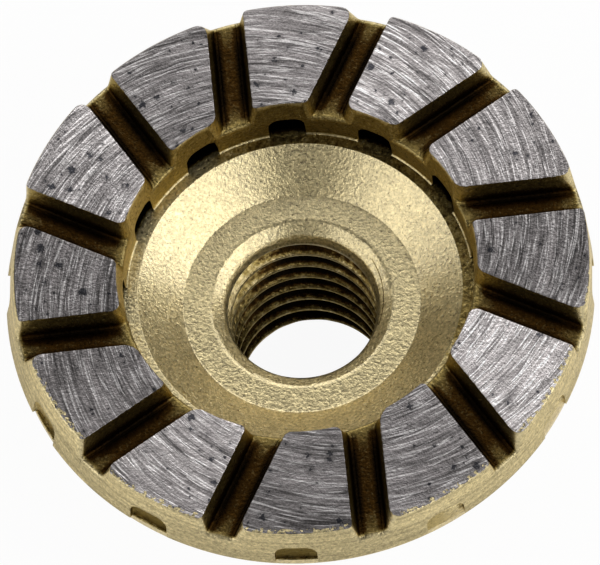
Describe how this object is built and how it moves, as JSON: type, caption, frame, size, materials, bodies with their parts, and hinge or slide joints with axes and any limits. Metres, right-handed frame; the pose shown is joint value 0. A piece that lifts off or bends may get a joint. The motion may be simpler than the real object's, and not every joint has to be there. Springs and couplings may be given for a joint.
{
  "type": "diamond cup wheel",
  "caption": "Small cup-shaped grinding wheel with a threaded hub and a sintered diamond ring, its face cut by skewed slots and its underside open in cooling tunnels.",
  "frame": {"origin": "middle of the hub's back face, which the wheel stands on", "axes": "+Z is the spindle axis and points out of the grinding face; +X and +Y lie in the plane of the face"},
  "size_m": [0.0508, 0.0508, 0.026],
  "materials": {
    "gold_paint": "satin metallic gold paint over a blasted surface",
    "ground_metal": "ground metal with fine scratches and dark grit"
  },
  "bodies": {
    "root": {"steel_body": "gold_paint", "diamond_ring": "ground_metal"}
  },
  "joints": []
}
